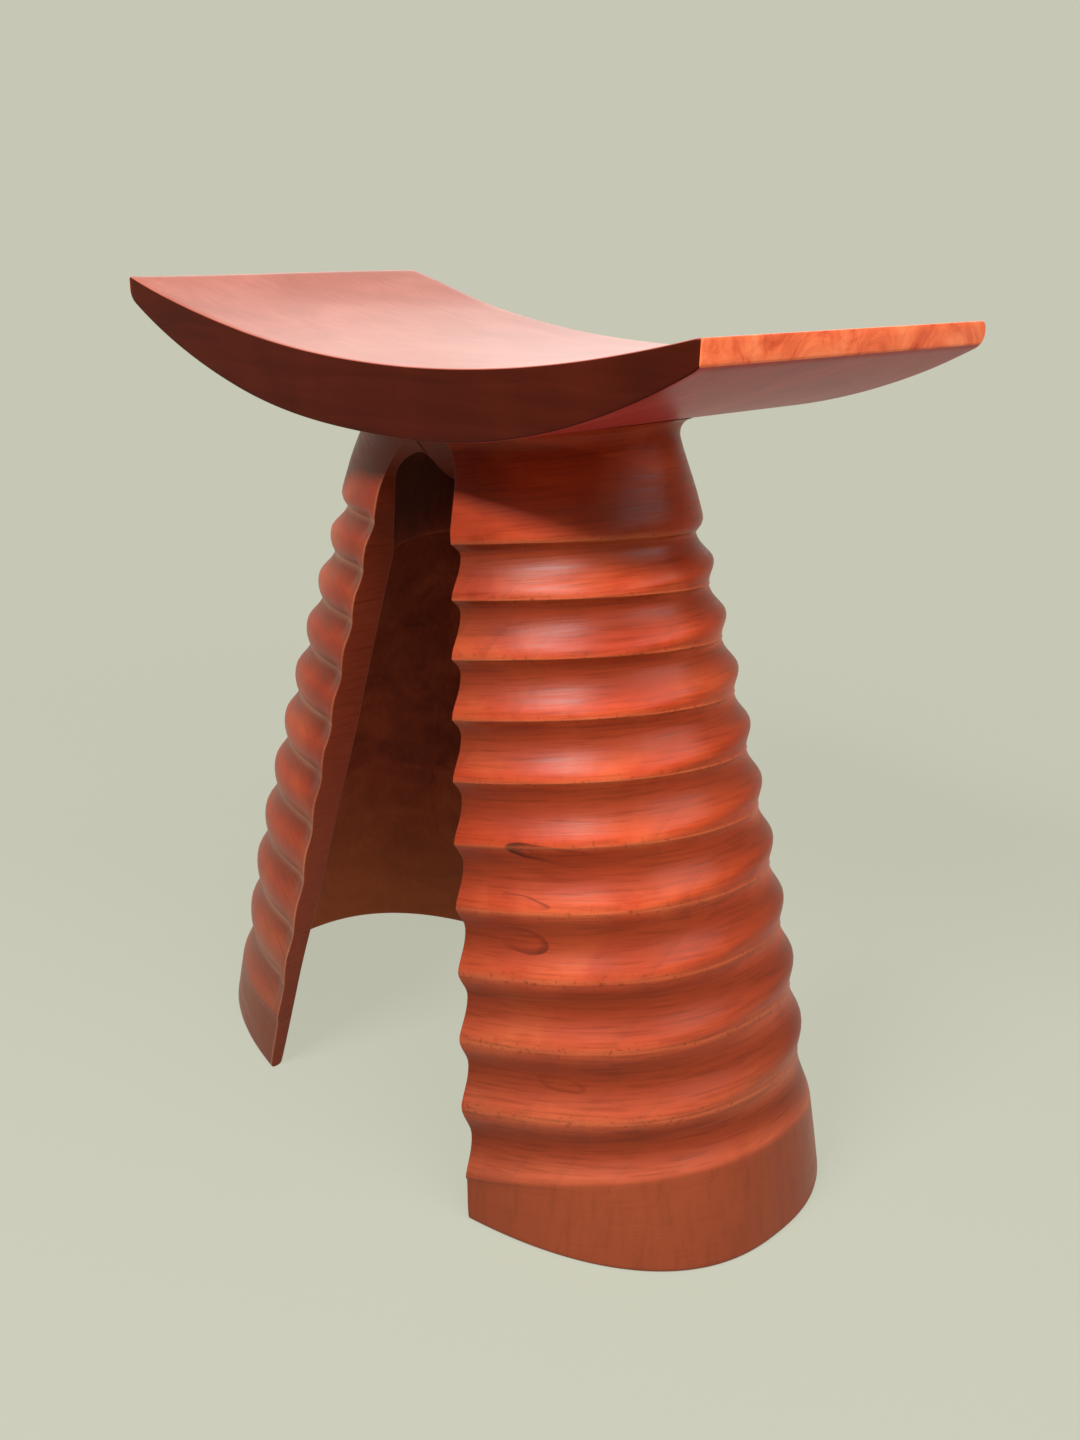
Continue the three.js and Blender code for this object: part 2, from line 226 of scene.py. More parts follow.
leg = {
    "coneHeight": 350.0,
    "floorHalfLength": 208.0,
    "upperHalfLength": 117.0,
    "lengthBulge": 8.3,
    "floorHalfWidth": 114.3,
    "upperHalfWidth": 72.1,
    "widthBulge": 5.1,
    "floorPower": 2.7,        # squareness of the oval, 2 is an ellipse
    "upperPower": 1.86,
    "ribs": 9,
    "firstRibHeight": 308.0,
    "firstPitch": 29.9,
    "pitchGrowth": 0.97,
    "usualPitch": 33.0,
    "mostRise": 0.246,
    "riseFall": 0.0019,
    "steepestRib": 5.5,
    "leftRise": -0.05,
    "backFall": 0.063,        # the lines sink towards the back
    "frontLine": -105.0,
    "neckLineHeight": 335.5,
    "neckLineRise": 0.18,
    "leftNeckRise": -0.04,
    "neckFade": 0.14,         # of the neck's height, where the groove above the first rib runs out
    "neckWaist": 5.0,
    "waistStart": 8.0,
    "waistEnd": 40.0,
    "collarRadius": 9.0,
    # angles from the leg's end, in radians, negative towards the front: fully crisp and fully plump ribs
    "crispAt": {-1: -1.9, 1: -0.45},
    "plumpAt": {-1: -1.3, 1: 0.35},
    "leftFlatter": 0.65,      # the left leg's ribs flatten over the last millimetres to its cut edges
    "flatterReach": 12.0,
    "footRidgeMiddle": -6.0,  # the ridge between the foot's groove and its smooth band
    "footRidgeRise": 0.32,
    "leftFootRidge": 36.0,    # its height beside the gap on the left leg
    "footStep": 0.7,          # from the ridge in to the band, towards the gap
    "stepAngles": (0.52, 0.9),
    "stepShares": (0.05, 0.8),  # of the band's height, where the step is full and where it has run out
    "bandHeight": 40.0,
    "footFrom": 60.0,         # the foot's spread fades out between these heights
    "footTo": 130.0,
    "footLonger": 3.0,
    "footWider": 4.5,
    "footSofter": 0.3,
    "soleRound": 2.5,
    "innerSoleRound": 2.0,
    "leftGapAtFloor": 83.5,   # the gap stands a little off the middle at the floor
    "rightGapAtFloor": 94.5,
    "gapKneeHeight": 331.0,
    "gapHalfAtKnee": 32.9,
    "gapHalfAtSpring": 29.0,
    "gapSpringHeight": 345.0,
    "gapArchRise": 45.0,
    "gapHalfAtTop": 11.0,
    "hollowTop": 317.0,
    "wallAtSole": 7.0,
    "wallAbove": 20.5,
    "wallGrowHeight": 220.0,
    "wallGrowPower": 0.75,
    "wellRadius": 64.0,
    "vaultHeight": 373.0,
    "vaultRadius": 51.0,
    "vaultInnerHeight": 353.0,
    "byCutAngles": (0.5, 1.1),  # where the darker tone beside the gap starts and is full
    "arrisWidth": 1.3,
    "crestWidth": 0.046875,   # of a rib, the band along the crest that is given the painted highlight
    "crestsFrom": -0.02,      # of a rib, from just above the neck line
    "crestsTo": 0.5,          # to this far below the last crest
    "bandEdge": (0.86, 1.04),   # of the foot's rib, where the foot band's tone starts and is full
    "plainestAt": {-1: 0.0, 1: -1.5},  # the angle at which a leg's ribs have their plainest form
    "rowsPerRib": 13,
    "bandRows": 9,
    "neckRows": 34,
    "neckCrowding": 1.7,      # brings the neck's rows closer together under the seat
    "topRows": 12,
    "arcColumns": 112,
    "cutColumns": 13,
    "arrisPasses": 4,         # smoothing passes that round the carved edges
    "arrisColumns": 3,        # columns beside an edge that are smoothed in full
    "cutPasses": 8,
    "arcPasses": 14,
    "halvings": 34,
}


def coneAt(z):
    # half length, half width and squareness of the oval, each a line plus a parabola in height
    t = z / leg["coneHeight"]
    bow = 4 * t * (1 - t)
    low = 1 - smoothstep(z, leg["footFrom"], leg["footTo"])
    length = leg["floorHalfLength"] + (leg["upperHalfLength"] - leg["floorHalfLength"]) * t
    width = leg["floorHalfWidth"] + (leg["upperHalfWidth"] - leg["floorHalfWidth"]) * t
    power = leg["floorPower"] + (leg["upperPower"] - leg["floorPower"]) * t
    length = length + leg["lengthBulge"] * bow + leg["footLonger"] * low
    width = width + leg["widthBulge"] * bow + leg["footWider"] * low
    return length, width, power - leg["footSofter"] * low


def polarRadius(length, width, power, angle):
    # superellipse in polar form: (|cos/length|^n + |sin/width|^n)^(-1/n)
    return (np.abs(np.cos(angle) / length) ** power + np.abs(np.sin(angle) / width) ** power) ** (-1 / power)


def gapAt(z, side):
    # half width of the gap: a leaning line, a short shoulder, then an elliptic arch
    atFloor = leg["leftGapAtFloor"] if side < 0 else leg["rightGapAtFloor"]
    knee, spring = leg["gapKneeHeight"], leg["gapSpringHeight"]
    atKnee, atSpring = leg["gapHalfAtKnee"], leg["gapHalfAtSpring"]
    line = atFloor + (atKnee - atFloor) * z / knee
    shoulder = atKnee + (atSpring - atKnee) * np.clip((z - knee) / (spring - knee), 0, 1)
    up = np.clip((z - spring) / leg["gapArchRise"], 0, 1)
    arch = np.maximum(atSpring * np.sqrt(1 - up ** 2), leg["gapHalfAtTop"])
    return np.where(z < knee, line, np.where(z < spring, shoulder, arch))


def ribLines(side):
    # height at the middle and climb of the neck line, every crest line, the foot's ridge and the floor; the
    # left leg's lines keep their height at the cut but fall away from it
    n = np.arange(leg["ribs"])
    middle = leg["firstRibHeight"] - leg["firstPitch"] * n - leg["pitchGrowth"] * n * (n - 1) / 2
    rise = leg["mostRise"] - leg["riseFall"] * (n - leg["steepestRib"]) ** 2
    middle = np.r_[leg["neckLineHeight"], middle, leg["footRidgeMiddle"], 0]
    rise = np.r_[leg["neckLineRise"], rise, leg["footRidgeRise"], 0]
    if side < 0:
        closing = (leg["rightGapAtFloor"] - leg["gapHalfAtKnee"]) / leg["gapKneeHeight"]
        atCut = (middle + rise * leg["rightGapAtFloor"]) / (1 + closing * rise)
        atCut[-2] = leg["leftFootRidge"]
        rise = np.r_[leg["leftNeckRise"], np.full(leg["ribs"] + 1, leg["leftRise"]), 0]
        middle = atCut - rise * gapAt(atCut, side)
        middle[-1] = 0
    return middle, rise


def rowHeight(q, x, y, side):
    # q counts lines down from the neck line; below zero it climbs the neck to the seat
    middle, rise = ribLines(side)
    lines = np.arange(middle.size)
    line = np.interp(q, lines, middle) + np.interp(q, lines, rise) * np.abs(x)
    line = line - leg["backFall"] * (y - leg["frontLine"]) * np.clip(lines[-1] - q, 0, 1)
    return line + np.clip(-q, 0, 1) * (seatUnderAt(x) - seat["joint"] - line)


def roundedBack(radius, height):
    # how far a rounded edge has drawn back at a height above the floor
    left = np.clip(radius - height, 0, radius)
    return radius - np.sqrt(radius ** 2 - left ** 2)


# crisp ribs stand out at their crests, the lower ones with a softer nose; plump ribs have a valley at each
# crest line, a sharp crease on the left leg and a soft one on the right
crispRib = {"deepest": 0.20, "lower": 0.025, "fullest": 0.985, "atCrest": 0.0, "depth": 5.6, "depthLoss": 0.0}
plumpRib = {"deepest": 0.05, "lower": 0.0, "fullest": 0.54, "atCrest": 0.88, "depth": 6.0, "depthLoss": 0.2}
softNose = {"from": 4.0, "to": 7.5}  # ribs counted down from the neck
climbEase = {"start": 0.5, "endHigh": 0.25, "endLow": 0.15}  # shares of the climb that ease in and out
easeChange = {"from": 1.0, "to": 5.0}  # ribs over which the ease out changes from high to low


def easedRamp(t, start, end):
    # from 0 to 1: a parabola over the first share, a straight line, a parabola over the last share
    slope = 1 / (1 - start / 2 - end / 2)
    straight = slope * (t - start / 2)
    easedOut = np.where(t > 1 - end, 1 - slope * (1 - t) ** 2 / (2 * end), straight)
    return np.where(t < start, slope * t ** 2 / (2 * start), easedOut)


def ribDepth(t, k, angle, side, foot=False):
    # depth at a share t of the way down rib k: a fall to the deepest line (a quarter sine, on the lower crisp
    # ribs a rounded nose), a climb to the fullest, then a fall back; a foot's rib doesn't roll back
    crispAt, plumpAt = leg["crispAt"][side], leg["plumpAt"][side]
    plump = smoothstep(angle, crispAt, plumpAt)
    if side < 0:
        plump = plump * (1 - smoothstep(angle, -plumpAt, -crispAt))
    part = {key: crispRib[key] + (plumpRib[key] - crispRib[key]) * plump for key in crispRib}
    deepest = part["deepest"] + part["lower"] * k
    fullest = part["fullest"] * 0 + 1 if foot else part["fullest"]
    down = np.clip(t / deepest, 0, 1)
    soft = smoothstep(k, softNose["from"], softNose["to"]) * (1 - plump)
    nose = smoothstep(down, 0, 1) * soft + np.sin(np.pi / 2 * down) * (1 - soft)
    fall = part["atCrest"] + (1 - part["atCrest"]) * nose
    up = np.clip((t - deepest) / (fullest - deepest), 0, 1)
    lower = smoothstep(k, easeChange["from"], easeChange["to"])
    endShare = climbEase["endHigh"] + (climbEase["endLow"] - climbEase["endHigh"]) * lower * (1 - plump)
    climb = 1 - easedRamp(up, climbEase["start"], endShare)
    past = np.maximum(t - fullest, 0) / np.maximum(1 - fullest, tiny)
    back = part["atCrest"] * (smoothstep(past, 0, 1) if side > 0 else past ** 2)
    return (part["depth"] - part["depthLoss"] * k) * np.where(t < deepest, fall, climb + back)


def outerInset(q, x, z, angle, side):
    # how far the surface lies inside the plain cone: ribs, rounded sole, waist and collar
    ribs = leg["ribs"]
    groove = np.where(q < ribs, ribDepth(q % 1, np.clip(np.floor(q), 0, ribs), angle, side),
                      ribDepth(np.clip(q - ribs, 0, 1), ribs, angle, side, True))
    runOut = np.clip((q + leg["neckFade"]) / leg["neckFade"], 0, 1) ** 2
    groove = np.where(q <= 0, ribDepth(0 * q, 0, angle, side) * runOut, groove)
    if side < 0:
        byEdge = 1 - smoothstep(x - gapAt(z, side), 0, leg["flatterReach"])
        groove = groove * (1 - leg["leftFlatter"] * byEdge)
    stepFull, stepGone = leg["stepShares"]
    down = q - ribs - 1
    step = leg["footStep"] * smoothstep(np.abs(angle), *leg["stepAngles"])
    step = step * smoothstep(down, 0, stepFull) * (1 - smoothstep(down, stepFull, stepGone))
    below = np.maximum(seatUnderAt(x) - seat["joint"] - z, 0)
    waist = np.where(q < 0, leg["neckWaist"] * (1 - smoothstep(below, leg["waistStart"], leg["waistEnd"])), 0)
    return groove + step + roundedBack(leg["soleRound"], z) - roundedBack(leg["collarRadius"], below), waist


def cutAngleAt(radiusAt, gap, sign=1):
    # the polar angle at which radius times cosine has fallen to the gap's half width, by halving
    low, high = np.zeros_like(gap), np.full_like(gap, math.pi / 2 - 1e-3)
    for _ in range(leg["halvings"]):
        middle = (low + high) / 2
        outside = radiusAt(middle * sign) * np.cos(middle) > gap
        low, high = np.where(outside, middle, low), np.where(outside, high, middle)
    return (low + high) / 2 * sign


cornerSteps = np.array([0, 0.35, 0.75, 1.2, 1.8, 2.6, 3.8])  # millimetres from an arris
cornerRoom = 12.0  # on an arc or a wall narrower than this the steps shrink


def spreadColumns(front, back, frontRadius, backRadius):
    # angles from one cut edge to the other: fixed millimetre steps by the edges, even between them
    frontShare = np.minimum(-front * frontRadius / cornerRoom, 1)[:, None]
    backShare = np.minimum(back * backRadius / cornerRoom, 1)[:, None]
    atFront = front[:, None] + cornerSteps[None, :] / frontRadius[:, None] * frontShare
    atBack = back[:, None] - cornerSteps[None, :] / backRadius[:, None] * backShare
    inside = np.linspace(0, 1, leg["arcColumns"] - 2 * (cornerSteps.size - 1))[1:-1]
    between = atFront[:, -1:] + (atBack[:, -1:] - atFront[:, -1:]) * inside[None, :]
    return np.concatenate([atFront, between, atBack[:, ::-1]], 1)


def soleToNeckRows():
    # row coordinates from the sole up to the seat, close together where the section turns sharply
    ribs = leg["ribs"]
    nearSole = ribs + 2 - np.array([0, 0.25, 0.6, 1.1, 1.8, 2.6, 4.0, 6.0]) / leg["bandHeight"]
    nearRidge = ribs + np.array([1.07, 1.035])
    band = np.r_[np.linspace(nearSole[-1], nearRidge[0], leg["bandRows"])[1:], nearRidge[1]]
    byArris = cornerSteps[:5] / leg["usualPitch"]
    within = np.linspace(byArris[-1], 1 - byArris[-1], leg["rowsPerRib"])
    u = np.r_[byArris[:-1], within, 1 - byArris[:0:-1]]
    between = (ribs + 1 - np.arange(ribs + 1)[:, None] - u[None, :]).ravel()
    neck = -(1 - (1 - np.linspace(0, 1, leg["neckRows"])) ** leg["neckCrowding"])
    return np.r_[nearSole, band, between, neck]


def outerArc(q, side):
    # the outside from cut edge to cut edge, and the rows' heights at the front cut; a row's height and its
    # radius depend on each other, so both are worked out in turn until they settle
    def radiusAt(angle, x, z, row):
        length, width, power = coneAt(z)
        inset, waist = outerInset(row, x, z, angle, side)
        return polarRadius(length - inset, width - inset - waist, power, angle)

    startX, startY = 60.0, 90.0
    edges = {}
    for sign in (-1, 1):
        z = rowHeight(q, np.full(q.shape, startX), startY * sign, side)
        for _ in range(leg["cutPasses"]):
            x = gapAt(z, side)
            angle = cutAngleAt(lambda angle: radiusAt(angle, x, z, q), x, sign)
            z = rowHeight(q, x, radiusAt(angle, x, z, q) * np.sin(angle), side)
        edges[sign] = angle, radiusAt(angle, x, z, q), z
    (front, frontRadius, zCut), (back, backRadius, _) = edges[-1], edges[1]
    angle = spreadColumns(front, back, frontRadius, backRadius)
    row = q[:, None] + 0 * angle
    x, y = startX + 0 * angle, 0 * angle
    for _ in range(leg["arcPasses"]):
        r = radiusAt(angle, x, rowHeight(row, x, y, side), row)
        x, y = r * np.cos(angle), r * np.sin(angle)
    return np.stack([x, y, rowHeight(row, x, y, side)], -1), zCut


def hollowPath(zCut, side):
    # for each row: blend from cone to well, radius of the well or vault, and height; above the cone the path
    # first blends, climbs the well's wall, turns over into the vault and dips to its inner end
    blendShare, wallShare, turnShare, dipShare = 0.1, 0.4, 0.2, 0.3
    turnFrom = blendShare + wallShare
    dipFrom = turnFrom + turnShare
    last = int((zCut <= leg["hollowTop"]).sum()) - 1
    height = zCut[:last + 1] * leg["hollowTop"] / zCut[last]
    path = np.linspace(0, 1, zCut.size - last + leg["topRows"])[1:]
    reach = leg["wellRadius"] - leg["vaultRadius"]
    wall = np.clip((path - blendShare) / wallShare, 0, 1)
    turn = np.clip((path - turnFrom) / turnShare, 0, 1) * math.pi / 2
    dip = np.clip((path - dipFrom) / dipShare, 0, 1)
    endRadius = float(gapAt(np.array(leg["vaultInnerHeight"]), side))
    radius = leg["vaultRadius"] + reach * np.cos(turn) - (leg["vaultRadius"] - endRadius) * dip
    z = leg["hollowTop"] + (leg["vaultHeight"] - reach - leg["hollowTop"]) * wall + reach * np.sin(turn)
    z = z - (leg["vaultHeight"] - leg["vaultInnerHeight"]) * smoothstep(dip, 0, 1)
    blend = np.clip(path / blendShare, 0, 1)
    return np.r_[0 * height, blend], np.r_[0 * height + leg["wellRadius"], radius], np.r_[height, z]


def innerArc(blend, radius, z, side):
    # superellipse of the outside less the wall, blending into the circle of the well and vault
    zCone = np.minimum(z, leg["hollowTop"])
    grown = np.clip(zCone / leg["wallGrowHeight"], 0, 1) ** leg["wallGrowPower"]
    wall = leg["wallAtSole"] + (leg["wallAbove"] - leg["wallAtSole"]) * grown
    wall = wall - roundedBack(leg["innerSoleRound"], zCone)
    length, width, power = coneAt(zCone)

    def radiusAt(angle, pick=slice(None)):
        cone = polarRadius((length - wall)[pick], (width - wall)[pick], power[pick], angle)
        return cone + (radius[pick] - cone) * blend[pick]

    cut = cutAngleAt(radiusAt, gapAt(z, side))
    cutRadius = radiusAt(cut)
    angle = spreadColumns(-cut, cut, cutRadius, cutRadius)
    r = radiusAt(angle, (slice(None), None))
    return np.stack([r * np.cos(angle), r * np.sin(angle), z[:, None] + 0 * r], -1)


def legSurface(side):
    # rows of closed loops from the sole to the seat: outside, back cut, hollow, front cut; then the sole
    q = soleToNeckRows()
    outer, zCut = outerArc(q, side)
    under = seatUnderAt(np.array(leg["gapHalfAtTop"])) - seat["joint"]
    tip = np.array([leg["gapHalfAtTop"], 0, under])
    share = np.linspace(0, 1, leg["topRows"] + 1)[1:, None, None]
    lid = outer[-1] + (tip - outer[-1]) * share  # top face under the seat, drawn in to one point
    lid[..., 2] = seatUnderAt(lid[..., 0]) - seat["joint"]
    outer = np.concatenate([outer, lid], 0)
    inner = innerArc(*hollowPath(zCut, side), side)

    wall = np.linalg.norm(outer[:, :1] - inner[:, :1], axis=-1)
    near = cornerSteps[None, 1:] / np.maximum(wall, tiny) * np.minimum(wall / cornerRoom, 1)
    far = 1 - near[:, ::-1]
    even = np.linspace(0, 1, leg["cutColumns"] - 2 * (cornerSteps.size - 2))[None, 1:-1]
    across = np.concatenate([near, near[:, -1:] + (far[:, :1] - near[:, -1:]) * even, far], 1)[..., None]

    def cutFace(fromEdge, toEdge):
        strip = fromEdge[:, None] + (toEdge - fromEdge)[:, None] * across
        strip[..., 0] = np.maximum(gapAt(strip[..., 2], side), leg["gapHalfAtTop"])
        return strip

    back = cutFace(outer[:, -1], inner[:, -1])
    front = cutFace(inner[:, 0], outer[:, 0])
    loop = np.concatenate([outer, back, inner[:, ::-1], front], 1)
    rows, count = loop.shape[:2]
    arc, cut = outer.shape[1], back.shape[1]
    corners = np.array([0, arc - 1, arc + cut, count - cut - 1])
    gapTo = np.abs(np.arange(count)[:, None] - corners[None, :])
    nearest = np.minimum(gapTo, count - gapTo).min(1)
    mask = (1 - smoothstep(nearest.astype(float), leg["arrisColumns"], cornerSteps.size - 1))[None, :, None]
    for _ in range(leg["arrisPasses"]):  # each point moves towards the mean of its neighbours
        mean = (np.roll(loop, 1, 1) + 2 * loop + np.roll(loop, -1, 1)) / 4
        loop = loop + (mean - loop) * mask

    ring = loop[0]
    outside, inside = ring[:arc], ring[arc + cut:2 * arc + cut][::-1]
    sole = outside + (inside - outside) * np.r_[0, across[0, :, 0], 1][:, None, None]
    sole[1:-1, 0] = ring[-cut:][::-1]
    sole[1:-1, -1] = ring[arc:arc + cut]
    faces = [gridFaces(rows, count, closed=True), gridFaces(sole.shape[0], arc, start=rows * count)]
    column = np.tile(np.arange(count), rows - 1)
    hollow = (column >= arc + cut) & (column < count - cut - 1)
    faceMaterial = np.r_[hollow, np.zeros(faces[1].shape[0], bool)].astype(int)

    row = np.r_[q, np.full(leg["topRows"], -1.0)]
    shares = legMasks(row, side)
    onArc = (np.arange(count) < arc).astype(float)
    turnedBy = np.abs(np.arctan2(loop[..., 1], loop[..., 0]))
    fromArris = np.abs(loop[..., 0]) - gapAt(loop[..., 2], side)
    shares["byCut"] = smoothstep(turnedBy, *leg["byCutAngles"])
    shares["arris"] = np.exp(-(fromArris / leg["arrisWidth"]) ** 2)
    attributes = {key: (values * onArc).ravel() for key, values in shares.items()}
    onCut = np.zeros(count)
    onCut[arc:arc + cut] = onCut[count - cut:] = 1
    attributes["cutFace"] = np.tile(onCut, rows)
    attributes = {key: np.r_[values, np.zeros(sole.shape[0] * arc)] for key, values in attributes.items()}
    points = np.concatenate([loop.reshape(-1, 3), sole.reshape(-1, 3)], 0)
    points[:, 0] *= side
    return points, faces, faceMaterial, attributes


def legMasks(row, side):
    # how much each row is cove (for the painted shade there), crest or foot band, taken from the rib's form
    # where it is plainest
    ribs, plainest = leg["ribs"], leg["plainestAt"][side]
    share, rib = row % 1, np.clip(np.floor(row), 0, ribs)
    depth = np.where(rib < ribs, ribDepth(share, rib, plainest, side),
                     ribDepth(share, rib, plainest, side, True))
    fromCrest = np.minimum(share, 1 - share) / leg["crestWidth"]
    crested = (row > leg["crestsFrom"]) & (row < ribs + leg["crestsTo"])
    bandFrom, bandFull = leg["bandEdge"]
    masks = {
        "coveShade": np.where((row > 0) & (row < ribs + 1), depth / crispRib["depth"], 0),
        "crest": np.where(crested, np.exp(-fromCrest ** 2), 0),
        "footBand": smoothstep(row, ribs + bandFrom, ribs + bandFull),
    }
    return {key: values[:, None] for key, values in masks.items()}


legLooks = {
    "darkRed": "#a83719",
    "midRed": "#bb4220",
    "lightRed": "#cb562e",
    "coveShade": "#7a2c14",        # painted shade: darker in the grooves under the crests
    "coveShadeShare": 0.85,
    "crest": "#c2653e",       # painted highlight along the crests
    "foot": "#8c4024",
    "footShare": 0.75,
    "ring": "#7a301b",
    "mark": "#45130a",
    "cutFace": "#a3452b",
    "cutFaceShare": 0.75,
    "lowRibSheen": "#b3694c",        # painted sheen: the lower ribs are paler and duller
    "lowRibSheenShare": 0.42,
    "lowRibSheenHeights": (0.02, 0.2),
    "leftLipHighlight": "#b58a68",     # painted highlight along the left leg's crests and cut edges
    "lipHighlightShare": 0.6,
    "leftLegShade": 0.74,       # painted shade: the whole left leg is a little darker
    "byCutTone": 0.72,        # darker towards the cut edges
    "lowTone": 0.84,          # and towards the floor
    "lowToneTo": 0.19,
    "shine": 0.15,
    "roughness": (0.30, 0.42),
    "mottlePerMetre": 18.0,
    "fibresPerMetre": 210.0,  # real fibres are finer; drawn as coarse as they need to show
    "footFibres": 0.42,
    "polishPerMetre": 700.0,  # cloth marks that follow the ribs
    "polishRise": -0.2,
    "ribPolish": 0.7,
    "footPolish": 0.15,
    "ringSpacing": 0.016,     # metres between growth rings
    "ringUnit": 0.314159,     # wave scale for rings a metre apart, a twentieth of two pi
    "strayPerMetre": 7.0,     # how the rings stray from circles
    "strayReach": 0.03,
    "patchesPerMetre": 11.0,  # where the rings show
    "frayPerMetre": 90.0,     # how the dark lines of the grain fray
    "frayReach": 0.0022,
    "specksPerMetre": 420.0,  # wear along the crests
    "middleBlend": 0.002,     # metres from the middle over which one leg's tone gives way to the other's
    "bumpStrength": 0.35,
    "bumpDepth": 0.00022,
}

figureMarks = [
    # dark lines of the grain: centre and half axes in millimetres, where the line is darkest, strength
    ((110, -74, 202.5), (26.5, 26, 5.5), (-1.0, 0, 0), 1.0),
    ((99, -83, 156.5), (15.0, 20, 6.0), (1.0, 0, 0), 1.0),
    ((100, -82, 178), (14.0, 18, 2.2), (0.3, 0, 0.8), 0.6),
    ((129.5, -82.5, 89), (13.5, 14, 3.6), (0, 0, 0), 0.45),
    ((60, 0, 360), (60, 900, 30), (0, 0, 1.6), 0.25),
]
seatShadowPatch = {"centre": (116, -40, 362), "axes": (50, 58, 19), "share": 0.78}  # painted shadow of the seat on the right of the neck


def strayedPlace(tree, place, perMetre, reach):
    # the place moved by a noise, by up to the reach along each axis
    noise = addNode(tree, "ShaderNodeTexNoise", {"Vector": place, "Scale": perMetre, "Detail": 2.0})
    moved = addNode(tree, "ShaderNodeVectorMath", {
        0: noise.outputs["Color"], 1: [reach] * 3}, operation="MULTIPLY")
    return addNode(tree, "ShaderNodeVectorMath", {0: place, 1: moved.outputs[0]}, operation="ADD").outputs[0]


def growthRings(tree, place):
    # thin rings about an upright heart, strayed by a slow noise and shown in patches
    strayed = strayedPlace(tree, place, legLooks["strayPerMetre"], legLooks["strayReach"])
    scale = legLooks["ringUnit"] / legLooks["ringSpacing"]
    wave = addNode(tree, "ShaderNodeTexWave", {
        "Vector": strayed, "Scale": scale, "Distortion": 1.2, "Detail": 2.0, "Detail Scale": 0.6},
        wave_type="RINGS", rings_direction="Z", wave_profile="SAW")
    line = addNode(tree, "ShaderNodeValToRGB", {"Fac": wave.outputs["Fac"]}, stops=[
        (0.0, 0.0), (0.72, 0.06), (0.93, 0.75), (1.0, 1.0)])
    patches = addNode(tree, "ShaderNodeTexNoise", {
        "Vector": place, "Scale": legLooks["patchesPerMetre"], "Detail": 1.0})
    patchy = addNode(tree, "ShaderNodeValToRGB", {"Fac": patches.outputs["Fac"]}, stops=[
        (0.45, 0.03), (0.66, 0.3)])
    share = addNode(tree, "ShaderNodeMath", {
        0: line.outputs["Color"], 1: patchy.outputs["Color"]}, operation="MULTIPLY")
    return share.outputs[0]


def ovalPlace(tree, frayed, centre, axes):
    # coordinates about an oval's centre in units of its half axes, less the fraying's mean shift
    scale = [1000 / axis for axis in axes]
    shift = [-(c * 0.001 + legLooks["frayReach"] / 2) * s for c, s in zip(centre, scale)]
    return addNode(tree, "ShaderNodeMapping", {
        "Vector": frayed, "Scale": scale, "Location": shift}).outputs["Vector"]


def figureLines(tree, frayed):
    # thin dark ovals, each fading away from its darkest end; where two meet the darker one counts
    darker = 0.0
    for centre, axes, darkest, strength in figureMarks:
        local = ovalPlace(tree, frayed, centre, axes)
        reach = addNode(tree, "ShaderNodeVectorMath", {0: local}, operation="LENGTH")
        line = addNode(tree, "ShaderNodeValToRGB", {"Fac": reach.outputs["Value"]}, stops=[
            (0.55, 0.0), (0.84, 1.0), (0.94, 1.0), (1.0, 0.0)])
        lean = addNode(tree, "ShaderNodeVectorMath", {0: local, 1: darkest}, operation="DOT_PRODUCT")
        fade = addNode(tree, "ShaderNodeMapRange", {
            "Value": lean.outputs["Value"], "From Min": -0.8, "From Max": 0.7,
            "To Min": 0.0 if any(darkest) else 1.0})
        line = addNode(tree, "ShaderNodeMath", {
            0: line.outputs["Color"], 1: fade.outputs["Result"]}, operation="MULTIPLY")
        line = addNode(tree, "ShaderNodeMath", {0: line.outputs[0], 1: strength}, operation="MULTIPLY")
        darker = addNode(tree, "ShaderNodeMath", {
            0: line.outputs[0], 1: darker}, operation="MAXIMUM").outputs[0]
    return darker


def paintedSeatShadow(tree, frayed):
    # painted shadow of the seat: a soft dark oval on the neck
    local = ovalPlace(tree, frayed, seatShadowPatch["centre"], seatShadowPatch["axes"])
    reach = addNode(tree, "ShaderNodeVectorMath", {0: local}, operation="LENGTH")
    shade = addNode(tree, "ShaderNodeMapRange", {
        "Value": reach.outputs["Value"], "From Min": 1.25, "From Max": 0.1, "To Max": seatShadowPatch["share"]},
        interpolation_type="SMOOTHSTEP")
    return shade.outputs["Result"]


def legDarkening(tree, apart):
    # one factor for the whole leg: painted shade over the left leg, and darker beside the gap and near the
    # floor
    byCut = addNode(tree, "ShaderNodeAttribute", attribute_name="byCut").outputs["Fac"]
    blend, tone = legLooks["middleBlend"], 1.0
    for value, start, end, atStart, atEnd in (
            (apart["X"], -blend, blend, legLooks["leftLegShade"], 1.0),
            (byCut, 0.0, 1.0, 1.0, legLooks["byCutTone"]),
            (apart["Z"], 0.0, legLooks["lowToneTo"], legLooks["lowTone"], 1.0)):
        part = addNode(tree, "ShaderNodeMapRange", {
            "Value": value, "From Min": start, "From Max": end, "To Min": atStart, "To Max": atEnd})
        tone = addNode(tree, "ShaderNodeMath", {
            0: part.outputs["Result"], 1: tone}, operation="MULTIPLY").outputs[0]
    return tone


